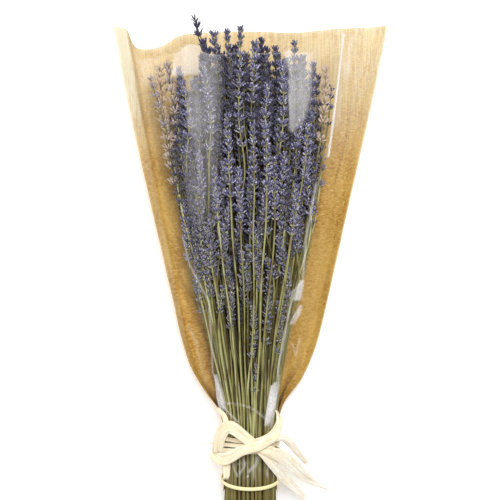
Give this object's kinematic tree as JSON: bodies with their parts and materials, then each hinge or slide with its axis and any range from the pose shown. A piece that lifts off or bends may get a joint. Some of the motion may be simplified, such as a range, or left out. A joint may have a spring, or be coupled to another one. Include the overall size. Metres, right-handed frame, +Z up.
{
  "type": "bunch of dried lavender",
  "caption": "Dried lavender bunch in a tapered sleeve with a kraft-paper back and a clear-film front, tied with a raffia bow and an elastic band, lying on its back.",
  "frame": {"origin": "middle of the footprint on the surface the bunch lies on", "axes": "+Y along the bunch from the cut stems towards the flowers, +Z up from the surface towards the film front, +X to the right seen from above with the flowers away"},
  "size_m": [0.243, 0.451, 0.069],
  "materials": {
    "stems": "matte dry stems",
    "flower_spikes": "matte, finely hairy dried flowers",
    "kraft_paper": "matte paper with long fibres",
    "clear_film": "clear glossy film",
    "raffia": "dry fibrous straw, slight sheen",
    "elastic_band": "matte rubber"
  },
  "bodies": {
    "root": {"lavender_stems": "stems", "kraft_paper": "kraft_paper", "clear_film": "clear_film", "raffia_tie": "raffia", "elastic_band": "elastic_band", "spikes_01": "flower_spikes", "spikes_02": "flower_spikes", "spikes_03": "flower_spikes", "spikes_04": "flower_spikes", "spikes_05": "flower_spikes", "spikes_06": "flower_spikes", "spikes_07": "flower_spikes", "spikes_08": "flower_spikes", "spikes_09": "flower_spikes", "spikes_10": "flower_spikes", "spikes_11": "flower_spikes", "spikes_12": "flower_spikes", "spikes_13": "flower_spikes", "spikes_14": "flower_spikes", "spikes_15": "flower_spikes", "spikes_16": "flower_spikes", "spikes_17": "flower_spikes", "spikes_18": "flower_spikes", "spikes_19": "flower_spikes", "spikes_20": "flower_spikes", "spikes_21": "flower_spikes", "spikes_22": "flower_spikes", "spikes_23": "flower_spikes", "spikes_24": "flower_spikes", "spikes_25": "flower_spikes", "spikes_26": "flower_spikes", "spikes_27": "flower_spikes", "spikes_28": "flower_spikes", "spikes_29": "flower_spikes", "spikes_30": "flower_spikes", "spikes_31": "flower_spikes", "spikes_32": "flower_spikes", "spikes_33": "flower_spikes", "spikes_34": "flower_spikes", "spikes_35": "flower_spikes", "spikes_36": "flower_spikes", "spikes_37": "flower_spikes", "spikes_38": "flower_spikes", "spikes_39": "flower_spikes", "spikes_40": "flower_spikes", "spikes_41": "flower_spikes", "spikes_42": "flower_spikes", "spikes_43": "flower_spikes", "spikes_44": "flower_spikes", "spikes_45": "flower_spikes", "spikes_46": "flower_spikes", "spikes_47": "flower_spikes", "spikes_48": "flower_spikes", "spikes_49": "flower_spikes", "spikes_50": "flower_spikes", "spikes_51": "flower_spikes", "spikes_52": "flower_spikes", "spikes_53": "flower_spikes", "spikes_54": "flower_spikes"}
  },
  "joints": []
}
